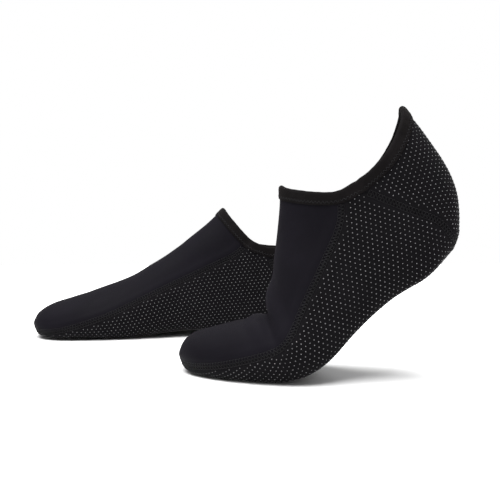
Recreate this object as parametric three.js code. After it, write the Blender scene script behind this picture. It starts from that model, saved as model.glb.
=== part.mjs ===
// A pair of low-cut neoprene water socks, toes towards -X, on the floor at Z = 0. Millimetres, +Z up.
// The left sock stands on tiptoe, bent up at the ball of the foot. The right sock stands flat, a step ahead.
// Each sock is sewn from three cut panels of foam sheet: a vamp over the toes and instep, a wrap for the
// sole and sides, and a heel cup. Flatlock seams cover their butted edges inside and out. A stretch tape,
// folded over the edge and held by a row of zigzag stitch on each face, binds the collar.
import * as THREE from "three";
import { mergeVertices } from "three/addons/utils/BufferGeometryUtils.js";

// Driving dimensions.
const sockLength = 265; // toe tip to back of heel, laid flat
const peakHeight = 114; // front peak of the collar above the sole
const ballWidth = 94; // outside width across the ball of the foot
const sheetThickness = 2.5; // foam sheet with its knitted faces
const seamGap = 0.3; // between the butted edges of two panels
const threadWidth = 5.2; // flatlock cover thread, across the seam
const threadThickness = 0.6;
const clearance = 0.3; // between pieces that lie on each other
const seamTail = 0.3; // share of its last stretch that a seam's thread stops short of the tape
const bindingWidth = 7; // folded tape, from the collar's edge down
const bindingThickness = 0.8;
const bindingEase = 0.45; // clearance at the collar, where the pieces curve more
const zigzagWidth = 1.8;
const zigzagThickness = 0.5;
const zigzagInset = 1.1; // from the tape's lower edge to the zigzag row
const bendAngle = THREE.MathUtils.degToRad(45); // heel raised on the left sock
const bendRadius = 62; // of the sole at the ball of the foot
const bendStart = 77; // from the toe tip to where the sole starts to rise
const bendLean = 0.35; // the fold leans forward over the toes, this far for each unit of height
const seamMargin = threadWidth / 2 + 0.6; // from a seam to the nearest row of facets beside it
const collarMargin = 10.5; // from the collar's edge to the nearest row of facets below it
const sideFullness = 0.85; // 1 gives elliptical sides, less gives fuller ones
const archSpan = [5.5, 9.3]; // stations between which the arch of the foot lifts the sole
const archOuterShare = 0.3; // of the arch's lift that is left at the outer side

// Each sock: which way its inner side faces, its bend, the lift of its arch, and the place of its toe tip.
const socks = {
  left: { inner: 1, bend: bendAngle, arch: 16, toe: [9, -74], turn: -14.5 },
  right: { inner: -1, bend: 0, arch: 4, toe: [-106, 107], turn: 0.4 },
};

// Stations along the sock, from the toe tip (0) over the heel to the collar (15). Each is a slanting section
// from a point on the bottom line to a point on the top line: x is a share of sockLength, z of peakHeight,
// and the inner and outer half widths of ballWidth. shift moves the section to the inner side. flat is how
// much of its underside is flat, and belly is the height share of its widest place.
const station = (bottom, top, half, shift, flat, belly) => ({ bottom, top, half, shift, flat, belly });
const stations = [
  station([0.0, 0.1], [0.0, 0.1], [0.0, 0.0], 0.08, 0.0, 0.5),
  station([0.003, 0.065], [0.003, 0.135], [0.12, 0.1], 0.08, 0.1, 0.45),
  station([0.015, 0.03], [0.015, 0.185], [0.23, 0.19], 0.08, 0.2, 0.42),
  station([0.052, 0.002], [0.048, 0.235], [0.345, 0.31], 0.07, 0.35, 0.4),
  station([0.135, -0.005], [0.125, 0.29], [0.43, 0.42], 0.04, 0.45, 0.38),
  station([0.26, -0.005], [0.24, 0.37], [0.48, 0.49], 0.0, 0.45, 0.38),
  station([0.375, 0.0], [0.345, 0.475], [0.46, 0.51], 0.0, 0.42, 0.38),
  station([0.495, 0.01], [0.44, 0.61], [0.41, 0.46], 0.0, 0.4, 0.38),
  station([0.62, 0.015], [0.525, 0.755], [0.365, 0.4], 0.0, 0.4, 0.38),
  station([0.725, -0.006], [0.575, 0.85], [0.345, 0.36], 0.0, 0.35, 0.4),
  station([0.81, -0.014], [0.6, 0.895], [0.34, 0.35], 0.0, 0.3, 0.42),
  station([0.875, 0.03], [0.61, 0.92], [0.34, 0.345], 0.0, 0.1, 0.44),
  station([0.95, 0.14], [0.62, 0.945], [0.335, 0.335], 0.0, 0.0, 0.47),
  station([0.99, 0.38], [0.628, 0.965], [0.325, 0.325], 0.0, 0.0, 0.48),
  station([1.0, 0.6], [0.634, 0.985], [0.315, 0.315], 0.0, 0.0, 0.48),
  station([1.012, 0.82], [0.64, 1.0], [0.3, 0.3], 0.0, 0.0, 0.48),
];
const lastStation = stations.length - 1;

// Seam lines and collar on that surface, as [station, degrees round the section from the middle of the sole].
const vampSeamLine = [[1, 0], [1.4, 42], [2, 62], [3, 76], [4, 87], [5, 102], [6, 113], [7, 116], [8, 116],
  [9, 117], [10, 117], [11, 117]];
const heelSeamLine = [[11, 0], [11.25, 42], [11.6, 64], [12, 83]];
const collarLine = [[15, 0], [14.85, 15], [14.55, 35], [14.1, 55], [13.45, 78], [12.75, 101], [12.35, 117],
  [12.6, 138], [13.2, 154], [14.0, 168], [15, 180]];
const seamTop = { vamp: 117, heel: 101 }; // degrees round the section where each seam meets the collar
const vampSeamSkew = { 1: 2, [-1]: -5 }; // the outer branch of the vamp seam runs lower than the inner one

// Facets: how many stretches each line is cut into.
const facets = { vampSeam: 18, acrossVamp: 14, acrossSole: 18, betweenSeams: 2, heelRows: 3 };

const { clamp, lerp, degToRad, radToDeg } = THREE.MathUtils;
const through = (points) => {
  const corners = points.map((p) => new THREE.Vector3(...p));
  return new THREE.CatmullRomCurve3(corners, false, "centripetal");
};
const bottomLine = through(stations.map((s) => [s.bottom[0] * sockLength, 0, s.bottom[1] * peakHeight]));
const topLine = through(stations.map((s) => [s.top[0] * sockLength, 0, s.top[1] * peakHeight]));
const widthLine = through(stations.map((s) => [...s.half, s.shift].map((share) => share * ballWidth)));
const shapeLine = through(stations.map((s) => [s.flat * 100, s.belly * 100, 0]));

// The flat sock's outside surface, by station and degrees round the section. Positive is the inner side.
function flatPoint(u, degrees, arch) {
  const at = clamp(u / lastStation, 0, 1);
  const width = widthLine.getPoint(at);
  const shape = shapeLine.getPoint(at);
  const flat = shape.x / 100;
  const belly = shape.y / 100;
  const angle = degToRad(Math.abs(degrees));
  const quarter = Math.PI / 2;
  let height;
  if (angle < quarter) {
    const lifted = Math.max(0, (angle - flat * quarter) / (1 - flat));
    height = belly * (1 - Math.cos(lifted));
  } else {
    height = belly - (1 - belly) * Math.cos(angle);
  }
  const sideways = Math.sign(degrees) * Math.pow(Math.sin(angle), sideFullness);
  const point = new THREE.Vector3().lerpVectors(bottomLine.getPoint(at), topLine.getPoint(at), height);
  const midfoot = Math.sin(Math.PI * clamp((u - archSpan[0]) / (archSpan[1] - archSpan[0]), 0, 1));
  const inward = lerp(archOuterShare, 1, (1 + sideways) / 2);
  const lift = arch * midfoot * inward * Math.pow(1 - height, 2);
  point.z = Math.max(0, point.z + lift);
  point.y = (sideways > 0 ? width.x : width.y) * sideways + width.z;
  return point;
}

// The chart: the surface laid out round the toe tip. A chart point's distance from the origin is its station
// and its direction is the angle round the section: the sole runs along +X and the vamp's ridge along -X.
function chartPoint(u, degrees) {
  const angle = degToRad(degrees);
  return new THREE.Vector2(u * Math.cos(angle), u * Math.sin(angle));
}

// The point of a sock's outside surface at a chart point: the flat sock, bent up at the ball, in its place.
function surfacePoint(sock, chart) {
  const p = flatPoint(chart.length(), radToDeg(Math.atan2(chart.y, chart.x)), sock.arch);
  const turned = clamp((p.x + bendLean * p.z - bendStart) / bendRadius, 0, sock.bend);
  const x = p.x - bendStart - turned * bendRadius;
  const z = p.z - bendRadius;
  p.x = bendStart + x * Math.cos(turned) - z * Math.sin(turned);
  p.z = bendRadius + x * Math.sin(turned) + z * Math.cos(turned);
  p.y *= sock.inner;
  p.applyAxisAngle(new THREE.Vector3(0, 0, 1), degToRad(sock.turn));
  p.x += sock.toe[0];
  p.y += sock.toe[1];
  return p;
}

// The surface's two chart directions at a chart point, per unit of chart length.
function slopes(sock, chart) {
  const step = 0.04;
  const along = (dx, dy) => {
    const ahead = surfacePoint(sock, new THREE.Vector2(chart.x + dx, chart.y + dy));
    const behind = surfacePoint(sock, new THREE.Vector2(chart.x - dx, chart.y - dy));
    return ahead.sub(behind).divideScalar(2 * step);
  };
  return [along(step, 0), along(0, step)];
}

function normalAt(sock, chart) {
  const [byX, byY] = slopes(sock, chart);
  return byX.cross(byY).normalize().multiplyScalar(-sock.inner);
}

// Lines on the chart. Both socks are cut from the same patterns, so lengths are measured on a flat sock.
const pattern = { inner: 1, bend: 0, arch: 0, toe: [0, 0], turn: 0 };

// A smooth value between the rows of a table, found by its second column.
function readTable(table, key) {
  const i = clamp(table.findIndex((row) => row[1] >= key), 1, table.length - 1);
  const share = clamp((key - table[i - 1][1]) / (table[i][1] - table[i - 1][1]), 0, 1);
  const slope = (k) => {
    const before = table[Math.max(k - 1, 0)];
    const after = table[Math.min(k + 1, table.length - 1)];
    return ((after[0] - before[0]) / (after[1] - before[1])) * (table[i][1] - table[i - 1][1]);
  };
  const s2 = share * share;
  const s3 = s2 * share;
  return (2 * s3 - 3 * s2 + 1) * table[i - 1][0] + (3 * s2 - 2 * s3) * table[i][0]
    + (s3 - 2 * s2 + share) * slope(i - 1) + (s3 - s2) * slope(i);
}

const collarPoint = (degrees) => chartPoint(readTable(collarLine, Math.abs(degrees)), degrees);

// A seam from the collar on the outer side, round the sock, to the collar on the inner side.
function seamCurve(line, top, skew) {
  const side = (s) => {
    const bend = (u) => s * skew[s] * clamp((u - 3) / 3, 0, 1);
    const points = line.slice(1).map(([u, degrees]) => chartPoint(u, s * degrees + bend(u)));
    return [...points, collarPoint(s * (top + skew[s]))];
  };
  return new THREE.SplineCurve([...side(-1).reverse(), chartPoint(...line[0]), ...side(1)]);
}
const vampSeam = seamCurve(vampSeamLine, seamTop.vamp, vampSeamSkew);
const heelSeam = seamCurve(heelSeamLine, seamTop.heel, { 1: 0, [-1]: 0 });
const vampCorner = { 1: seamTop.vamp + vampSeamSkew[1], [-1]: seamTop.vamp + vampSeamSkew[-1] };

// Chart points on a line, spaced evenly over the surface, with given lengths kept clear at each end.
function walk(pointAt, count, startMargin = 0, endMargin = 0) {
  const steps = 400;
  const fine = Array.from({ length: steps + 1 }, (_, i) => pointAt(i / steps));
  const lengths = [0];
  fine.slice(1).forEach((c, i) => {
    const stretch = surfacePoint(pattern, c).distanceTo(surfacePoint(pattern, fine[i]));
    lengths.push(lengths[i] + stretch);
  });
  const end = lengths[steps] - endMargin;
  return Array.from({ length: count + 1 }, (_, k) => {
    const wanted = lerp(startMargin, end, k / count);
    const i = clamp(lengths.findIndex((l) => l >= wanted), 1, steps);
    const share = clamp((wanted - lengths[i - 1]) / (lengths[i] - lengths[i - 1]), 0, 1);
    return fine[i - 1].clone().lerp(fine[i], share);
  });
}

// The chart point a given distance to the left of a line through c towards ahead, measured over the surface.
function besides(c, ahead, distance) {
  const [byX, byY] = slopes(pattern, c);
  const t = ahead.clone().sub(c);
  const p = byX.dot(byX) * t.x + byX.dot(byY) * t.y;
  const q = byX.dot(byY) * t.x + byY.dot(byY) * t.y;
  const d = new THREE.Vector2(-q, p);
  const length = byX.clone().multiplyScalar(d.x).addScaledVector(byY, d.y).length();
  return c.clone().addScaledVector(d, distance / length);
}

// A whole line moved sideways. Its two ends are given, because they slide along the collar instead.
function moved(line, distance, first, last) {
  return line.map((c, i) => {
    if (i === 0) return first;
    if (i === line.length - 1) return last;
    const from = line[i - 1].clone().lerp(c, 0.5);
    const to = c.clone().lerp(line[i + 1], 0.5);
    return besides(c, c.clone().add(to.sub(from)), distance);
  });
}

// Rows of chart points from one side line to the other. Each row bulges like the end row, by as much as takes
// its middle to its place on a spine, which runs evenly from the sides' common start to the end row's middle.
function patch(left, right, end) {
  const rows = left.length - 1;
  const columns = end.length - 1;
  const chord = (j, c) => left[j].clone().lerp(right[j], c);
  const middle = end[columns / 2];
  const spine = walk((share) => left[0].clone().lerp(middle, share), rows);
  return left.map((_, j) => {
    const bulge = (spine[j].x - chord(j, 0.5).x) / (middle.x - chord(rows, 0.5).x);
    return end.map((e, i) => {
      const c = i / columns;
      return chord(j, c).addScaledVector(e.clone().sub(chord(rows, c)), bulge);
    });
  });
}

const inside = (line) => line.slice(1, -1);

// The vamp seam's stations, from the toe to the collar, for the inner (1) and outer (-1) branch.
const branch = (seam, s) => (share) => seam.getPoint(0.5 + 0.5 * s * share);
function vampBranch(s) {
  const below = walk(branch(vampSeam, s), facets.vampSeam - 1, 0, collarMargin);
  return [...below, collarPoint(s * vampCorner[s])];
}
const vampStations = { 1: vampBranch(1), [-1]: vampBranch(-1) };
const vampSeamStations = [...vampStations[-1].slice(1).reverse(), ...vampStations[1]];

// The heel seam's stations, from the outer to the inner side, both ends on the collar.
const heelSeamStations = walk((share) => heelSeam.getPoint(share), facets.acrossSole);
const lastHeel = heelSeamStations.length - 1;

// The collar's stations: the front, from the outer to the inner vamp corner, the back, from the outer to the
// inner heel corner, and the short stretch between the two seams on each side.
const collarSpan = (from, to) => (share) => collarPoint(lerp(from, to, share));
const wrap = (degrees) => (degrees > 180 ? degrees - 360 : degrees);
const frontSpan = (share) => collarPoint(wrap(lerp(360 - vampCorner[-1], vampCorner[1], share)));
const collarFront = walk(frontSpan, facets.acrossVamp, seamMargin, seamMargin);
const collarBack = walk(collarSpan(-seamTop.heel, seamTop.heel), facets.acrossSole);
const collarSide = {};
for (const s of [1, -1]) {
  const span = collarSpan(s * vampCorner[s], s * seamTop.heel);
  collarSide[s] = walk(span, facets.betweenSeams, seamMargin, seamMargin);
}

// The collar's stations all the way round, and the row of facets below them.
const collarRing = [
  ...collarFront, ...collarSide[1], ...collarBack.slice().reverse(), ...collarSide[-1].slice().reverse(),
];
const squareDrops = collarRing.map((c, i) => {
  const from = collarRing.at(i - 1).clone().sub(c).normalize();
  const to = collarRing[(i + 1) % collarRing.length].clone().sub(c).normalize();
  return besides(c, c.clone().add(to.sub(from)), -collarMargin).sub(c);
});
// Round the peaks, square drops from the collar would cross, so each is turned a little like its neighbours.
const turnedAlike = (drops) => drops.map((drop, i) => {
  const beside = drops.at(i - 1).clone().add(drops[(i + 1) % drops.length]);
  return drop.clone().multiplyScalar(2).add(beside).divideScalar(4);
});
const drops = turnedAlike(turnedAlike(turnedAlike(squareDrops)));
const collarFeet = collarRing.map((c, i) => c.clone().add(drops[i]));
const footOf = new Map(collarRing.map((c, i) => [c, collarFeet[i]]));

// The rows of facets beside each seam, which start and end on the collar, and the panels' own edges.
const vampLane = moved(vampSeamStations, seamMargin, collarFront[0], collarFront.at(-1));
const wrapLane = moved(vampSeamStations, -seamMargin, collarSide[-1][0], collarSide[1][0]);
const wrapHeelLane = moved(heelSeamStations, seamMargin, collarSide[-1].at(-1), collarSide[1].at(-1));
const halfGap = seamGap / 2;
const nearby = (from, to) => walk(collarSpan(from, to), 1, halfGap)[0];
const vampTops = (to) => [nearby(-vampCorner[-1], -to), nearby(vampCorner[1], to)];
const heelTops = (to) => [nearby(-seamTop.heel, -to), nearby(seamTop.heel, to)];
const vampEdge = moved(vampSeamStations, halfGap, ...vampTops(180));
const wrapEdge = moved(vampSeamStations, -halfGap, ...vampTops(0));
const wrapHeelEdge = moved(heelSeamStations, halfGap, ...heelTops(180));
const heelEdge = moved(heelSeamStations, -halfGap, ...heelTops(0));
const heelLane = moved(heelSeamStations, -seamMargin, heelSeamStations[0], heelSeamStations[lastHeel]);

// A panel: rows of chart points, and quads between neighbouring rows.
function strips(...grids) {
  const quads = [];
  for (const rows of grids) {
    for (let j = 0; j + 1 < rows.length; j += 1) {
      for (let i = 0; i + 1 < rows[j].length; i += 1) {
        quads.push([rows[j][i], rows[j + 1][i], rows[j + 1][i + 1], rows[j][i + 1]]);
      }
    }
  }
  return quads;
}

// The vamp: a strip beside the seam, then rows across it from the toe to the collar.
const toe = facets.vampSeam;
function vampQuads() {
  const outer = vampLane.slice(1, toe + 1).reverse();
  const inner = vampLane.slice(toe, -1);
  const belowCollar = [outer.at(-1), ...inside(collarFront).map((c) => footOf.get(c)), inner.at(-1)];
  const ridge = patch(outer, inner, belowCollar);
  return strips([vampEdge, vampLane], [...ridge, collarFront]);
}

// The wrap: a strip beside the vamp seam, then rows across the sole from the toe to the heel seam.
function soleQuads() {
  const outer = [...wrapLane.slice(0, toe + 1).reverse(), ...collarSide[-1].slice(1)];
  const inner = [...wrapLane.slice(toe), ...collarSide[1].slice(1)];
  const rows = patch(outer, inner, wrapHeelLane);
  return strips([wrapEdge, wrapLane], [...rows, wrapHeelEdge]);
}

// The heel cup: columns from the heel seam up to the collar, which meet at the two corners. The short columns
// near the corners keep shares of their length clear at each end instead of the full margins.
function heelQuads() {
  const shortest = 3 * collarMargin;
  const [lowShare, highShare] = [0.3, 0.35];
  const columns = heelEdge.map((c, i) => {
    const top = i === 0 || i === lastHeel ? c : collarBack[i];
    const long = Math.max(surfacePoint(pattern, c).distanceTo(surfacePoint(pattern, top)), collarMargin);
    const lowPart = Math.min(seamMargin / long, lowShare);
    const highPart = Math.min(collarMargin / long, highShare);
    const low = long > shortest ? heelLane[i] : c.clone().lerp(top, lowPart);
    const high = long > shortest ? footOf.get(top) : top.clone().lerp(c, highPart);
    const row = (_, k) => low.clone().lerp(high, k / facets.heelRows);
    const between = Array.from({ length: facets.heelRows + 1 }, row);
    return [c, ...between, top];
  });
  return strips(columns.reverse());
}

// A closed solid from quads of [outer, inner] point pairs: two skins, walled at their free edges.
function shell(sock, quads, pairOf) {
  const index = new Map();
  const pairs = [];
  const numbered = (c) => {
    const key = `${c.x.toFixed(5)},${c.y.toFixed(5)}`;
    if (!index.has(key)) {
      index.set(key, pairs.length);
      pairs.push(pairOf(c));
    }
    return index.get(key);
  };
  const triangles = [];
  const edges = new Map();
  for (const quad of quads) {
    const [a, b, c, d] = quad.map(numbered);
    for (const t of [[a, b, c], [a, c, d]]) {
      if (new Set(t).size < 3) continue;
      triangles.push(t);
      t.forEach((from, k) => edges.set(`${from},${t[(k + 1) % 3]}`, [from, t[(k + 1) % 3]]));
    }
  }
  const corners = [];
  for (const [a, b, c] of triangles) {
    corners.push(pairs[a][0], pairs[b][0], pairs[c][0], pairs[a][1], pairs[c][1], pairs[b][1]);
  }
  for (const [from, to] of edges.values()) {
    if (edges.has(`${to},${from}`)) continue;
    corners.push(pairs[to][0], pairs[from][0], pairs[from][1], pairs[to][0], pairs[from][1], pairs[to][1]);
  }
  return solid(corners);
}

// A geometry from a closed list of triangle corners, turned right side out.
function solid(corners) {
  const geometry = new THREE.BufferGeometry().setFromPoints(corners);
  const p = geometry.getAttribute("position");
  let volume = 0;
  const [a, b, c] = [new THREE.Vector3(), new THREE.Vector3(), new THREE.Vector3()];
  for (let i = 0; i < p.count; i += 3) {
    a.fromBufferAttribute(p, i);
    b.fromBufferAttribute(p, i + 1);
    c.fromBufferAttribute(p, i + 2);
    volume += a.dot(b.cross(c));
  }
  if (volume < 0) {
    for (let i = 0; i < p.count; i += 3) {
      b.fromBufferAttribute(p, i + 1);
      c.fromBufferAttribute(p, i + 2);
      p.setXYZ(i + 1, c.x, c.y, c.z);
      p.setXYZ(i + 2, b.x, b.y, b.z);
    }
  }
  const merged = mergeVertices(geometry, 1e-4);
  merged.computeVertexNormals();
  return merged;
}

// Cross sections joined into one solid, capped at both ends.
function loft(sections) {
  const corners = [];
  const first = sections[0];
  const last = sections.at(-1);
  for (let j = 0; j + 1 < sections.length; j += 1) {
    const [here, next] = [sections[j], sections[j + 1]];
    for (let i = 0; i < here.length; i += 1) {
      const k = (i + 1) % here.length;
      corners.push(here[i], next[i], next[k], here[i], next[k], here[k]);
    }
  }
  for (let i = 1; i + 1 < first.length; i += 1) {
    corners.push(first[0], first[i], first[i + 1], last[0], last[i + 1], last[i]);
  }
  return solid(corners);
}

// The cover thread of a seam on one face of the sheet: a flat band across the butted edges.
function seamBand(sock, stations, lanes, face) {
  const low = face > 0 ? clearance : -(sheetThickness + clearance);
  const high = low + face * threadThickness;
  const reach = threadWidth / 2 / seamMargin;
  const sections = stations.map((c, i) => {
    const centre = { p: surfacePoint(sock, c), n: normalAt(sock, c) };
    const side = (lane) => ({
      p: centre.p.clone().lerp(surfacePoint(sock, lane[i]), reach),
      n: centre.n.clone().lerp(normalAt(sock, lane[i]), reach),
    });
    const raised = ({ p, n }, h) => p.clone().addScaledVector(n, h);
    const [left, right] = lanes.map(side);
    return [raised(left, low), raised(centre, low), raised(right, low),
      raised(right, high), raised(centre, high), raised(left, high)];
  });
  const last = sections.length - 1;
  const shorter = (end, next) => sections[end].map((p, k) => p.clone().lerp(sections[next][k], seamTail));
  return loft([shorter(0, 1), ...inside(sections), shorter(last, last - 1)]);
}

// The frame of the folded tape at each station: a place by depth below the collar's edge and height off it.
function collarFrames(sock) {
  return collarRing.map((c, i) => {
    const edge = { p: surfacePoint(sock, c), n: normalAt(sock, c) };
    const foot = { p: surfacePoint(sock, collarFeet[i]), n: normalAt(sock, collarFeet[i]) };
    const down = foot.p.clone().sub(edge.p).divideScalar(collarMargin);
    return (depth, out) => {
      const n = edge.n.clone().lerp(foot.n, clamp(depth / collarMargin, 0, 1));
      return edge.p.clone().addScaledVector(down, depth).addScaledVector(n, out);
    };
  });
}

// A ring of one outline, of depths and heights, round the collar. Each quad is cut from its deeper corner
// here to its shallower corner on the next station, as the panels' are, so that the two lie parallel.
function collarLoop(sock, outline) {
  const sections = collarFrames(sock).map((at) => outline.map(([depth, out]) => at(depth, out)));
  const corners = [];
  sections.forEach((here, j) => {
    const next = sections[(j + 1) % sections.length];
    outline.forEach(([depth], i) => {
      const k = (i + 1) % outline.length;
      if (depth > outline[k][0]) corners.push(here[i], next[i], next[k], here[i], next[k], here[k]);
      else corners.push(here[i], next[i], here[k], next[i], next[k], here[k]);
    });
  });
  return solid(corners);
}

// The folded tape: a U round the edge, with rounded shoulders.
function binding(sock) {
  const near = bindingEase;
  const far = bindingEase + bindingThickness;
  return collarLoop(sock, [
    [bindingWidth, far], [-near, far], [-far, near],
    [-far, -sheetThickness - near], [-near, -sheetThickness - far],
    [bindingWidth, -sheetThickness - far], [bindingWidth, -sheetThickness - near],
    [-near, -sheetThickness - near], [-near, near], [bindingWidth, near],
  ]);
}

// A row of zigzag stitch on one face of the tape.
function zigzag(sock, face) {
  const onTape = 2 * bindingEase + bindingThickness;
  const low = face > 0 ? onTape : -(sheetThickness + onTape);
  const high = low + face * zigzagThickness;
  const bottom = bindingWidth - zigzagInset;
  const top = bottom - zigzagWidth;
  return collarLoop(sock, [[bottom, low], [top, low], [top, high], [bottom, high]]);
}

// Materials: black jersey on the vamp, black printed mesh knit on wrap and heel, tape and thread.
const fabric = (color, roughness) => () => new THREE.MeshStandardMaterial({ color, roughness, metalness: 0 });
const jersey = fabric(0x1d1b20, 0.85);
const gripKnit = fabric(0x201e22, 0.75);
const tape = fabric(0x1b1a1d, 0.9);
const thread = fabric(0x151417, 0.7);

function addPiece(parent, name, geometry, material) {
  const mesh = new THREE.Mesh(geometry, material());
  mesh.name = name;
  parent.add(mesh);
}

function buildSock(side) {
  const sock = socks[side];
  const group = new THREE.Group();
  const pairOf = (c) => {
    const p = surfacePoint(sock, c);
    return [p, p.clone().addScaledVector(normalAt(sock, c), -sheetThickness)];
  };
  addPiece(group, `${side}_vamp_panel`, shell(sock, vampQuads(), pairOf), jersey);
  addPiece(group, `${side}_sole_panel`, shell(sock, soleQuads(), pairOf), gripKnit);
  addPiece(group, `${side}_heel_panel`, shell(sock, heelQuads(), pairOf), gripKnit);
  addPiece(group, `${side}_collar_binding`, binding(sock), tape);
  for (const [face, sign] of [["outer", 1], ["inner", -1]]) {
    const vampBand = seamBand(sock, inside(vampSeamStations), [inside(vampLane), inside(wrapLane)], sign);
    addPiece(group, `${side}_vamp_seam_${face}`, vampBand, thread);
    const heelBand = seamBand(sock, inside(heelSeamStations), [inside(wrapHeelLane), inside(heelLane)], sign);
    addPiece(group, `${side}_heel_seam_${face}`, heelBand, thread);
    addPiece(group, `${side}_collar_stitch_${face}`, zigzag(sock, sign), thread);
  }
  return group;
}

const pair = new THREE.Group();
pair.add(buildSock("left"), buildSock("right"));

// The origin is the middle of the pair's footprint.
const box = new THREE.Box3().setFromObject(pair);
pair.position.set(-(box.min.x + box.max.x) / 2, -(box.min.y + box.max.y) / 2, 0);
const waterSocks = new THREE.Group();
waterSocks.add(pair);

export default waterSocks;
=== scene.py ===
"""A pair of black neoprene water socks: the left bent on tiptoe, the right flat on the floor.

Each sock is sewn from three foam sheets faced with knit (vamp, sole wrap and heel cup). Flatlock seams join
them, a stretch tape held by zigzag stitches binds the collar, and rubber grip dots are printed on the wrap and
the heel cup.
"""

import math

import bmesh
import bpy
import numpy as np
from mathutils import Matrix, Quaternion, Vector, noise
from mathutils.bvhtree import BVHTree
from mathutils.geometry import barycentric_transform
from mathutils.kdtree import KDTree


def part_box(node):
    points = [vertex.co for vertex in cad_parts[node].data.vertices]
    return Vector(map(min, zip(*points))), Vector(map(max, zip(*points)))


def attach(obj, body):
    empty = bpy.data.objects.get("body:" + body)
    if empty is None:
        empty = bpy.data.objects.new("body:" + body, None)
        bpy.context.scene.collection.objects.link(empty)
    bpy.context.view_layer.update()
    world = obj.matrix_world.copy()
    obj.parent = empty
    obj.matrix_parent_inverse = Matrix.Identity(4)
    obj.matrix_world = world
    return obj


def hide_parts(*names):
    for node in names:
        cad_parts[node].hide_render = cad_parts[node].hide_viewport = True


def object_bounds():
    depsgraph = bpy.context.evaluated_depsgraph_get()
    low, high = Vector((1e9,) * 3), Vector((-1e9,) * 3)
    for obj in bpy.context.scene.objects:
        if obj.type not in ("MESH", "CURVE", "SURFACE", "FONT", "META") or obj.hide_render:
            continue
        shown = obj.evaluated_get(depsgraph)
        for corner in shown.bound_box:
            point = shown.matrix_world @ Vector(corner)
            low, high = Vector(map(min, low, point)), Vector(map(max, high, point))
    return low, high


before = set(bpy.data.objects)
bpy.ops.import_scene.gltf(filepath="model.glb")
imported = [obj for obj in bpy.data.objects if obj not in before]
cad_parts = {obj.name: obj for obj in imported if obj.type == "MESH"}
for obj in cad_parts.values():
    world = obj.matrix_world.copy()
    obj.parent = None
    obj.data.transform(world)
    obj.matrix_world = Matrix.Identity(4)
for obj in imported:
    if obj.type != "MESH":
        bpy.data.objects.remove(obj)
CAD_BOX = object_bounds()
BENT_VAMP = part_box("left_vamp_panel")

bl_info = {
    "name": "Water Socks",
    "version": (1, 0, 0),
    "blender": (4, 5, 0),
    "location": "3D View > Sidebar > Socks",
    "description": "Makes a pair of neoprene water socks on their measured frame",
    "category": "Object",
}

SIDES = ("left", "right")
MM = 0.001
TINY = 1e-9  # keeps a division by a length safe

# The panels: the CAD node each one stands for, and the slot that picks its finish.
PANELS = {
    "vamp": ("vamp_panel", "jersey"),
    "wrap": ("sole_panel", "grip_knit"),
    "heel_cup": ("heel_panel", "grip_knit"),
}
SEAMS = {"vamp_seam": ("vamp", "wrap"), "heel_seam": ("heel_cup", "wrap")}
FACES = {"outer": 1, "inner": -1}

skins = {}  # (side, panel) -> Skin, filled as the panels are made
collars = {}  # side -> Collar


# ---------------------------------------------------------------- settings

def length(name, description, default, low=0.0, high=1.0):
    """A size property in metres."""
    return bpy.props.FloatProperty(
        name=name, description=description, default=default, min=low, max=high,
        precision=5, unit="LENGTH", subtype="DISTANCE")


def colour(name, description, default):
    """A linear colour property."""
    return bpy.props.FloatVectorProperty(
        name=name, description=description, default=default, min=0.0, max=1.0, size=3, subtype="COLOR")


class PanelSettings(bpy.types.PropertyGroup):
    """The three foam sheets of each sock."""
    thickness: length("Sheet thickness", "Foam with its two knitted faces", 2.5 * MM)
    groove: length("Seam groove", "How far a seam pulls the sheet in", 0.75 * MM)
    groove_reach: length("Groove reach", "Half width of the pulled-in strip", 1.9 * MM)
    puff: length("Edge puff", "How far the sheet swells beside a seam", 0.35 * MM)
    crease: length("Toe crease", "Depth of the fold above the bent toes", 2.0 * MM)
    softness: length("Softness", "Height of the slow waves in the sheet", 0.7 * MM)
    detail: bpy.props.IntProperty(name="Detail", description="Subdivision levels", default=3, min=1, max=4)
    jersey_colour: colour("Jersey colour", "Smooth knit of the vamp", (0.0044, 0.0039, 0.0056))
    knit_colour: colour("Knit colour", "Mesh knit of wrap and heel cup", (0.0042, 0.0039, 0.0046))


class TapeSettings(bpy.types.PropertyGroup):
    """The tape that binds each collar."""
    width: length("Folded width", "From the collar's edge to the tape's lower edge", 7.0 * MM)
    thickness: length("Thickness", "One layer of tape", 0.7 * MM)
    gap: length("Gap", "Between the tape and the sheet", 0.12 * MM)
    lap: length("Lap", "Half length of the lapped ends at the centre back", 6.0 * MM)
    lap_rise: length("Lap rise", "Extra height where the ends lap", 0.4 * MM)
    station: length("Station", "Spacing of the sections along the collar", 2.4 * MM)
    colour: colour("Tape colour", "Matt stretch tape", (0.0044, 0.0038, 0.004))


class DotSettings(bpy.types.PropertyGroup):
    """The rubber dots printed on wrap and heel cup."""
    radius: length("Radius", "Of one dot", 0.37 * MM)
    height: length("Height", "Of one dot above the knit", 0.32 * MM)
    across: length("Spacing", "Between dots in a row", 3.7 * MM)
    rows: length("Row spacing", "Between staggered rows", 2.75 * MM)
    margin: length("Margin", "Kept free of dots along a seam", 3.4 * MM)
    colour: colour("Dot colour", "Pale grey rubber", (0.15, 0.148, 0.153))


class StitchSettings(bpy.types.PropertyGroup):
    """Threads of the flatlock seams and of the collar's zigzag."""
    seam_width: length("Seam width", "Between the outer needle rows", 4.4 * MM)
    pitch: length("Pitch", "Length of one seam stitch", 2.3 * MM)
    thread: length("Thread", "Diameter of the thread", 0.42 * MM)
    zigzag_width: length("Zigzag width", "Of the collar's zigzag", 1.8 * MM)
    zigzag_pitch: length("Zigzag pitch", "Length of one zigzag", 2.5 * MM)
    zigzag_inset: length("Zigzag inset", "From the tape's lower edge", 1.1 * MM)
    colour: colour("Thread colour", "Black polyester", (0.0055, 0.0052, 0.006))


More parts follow.
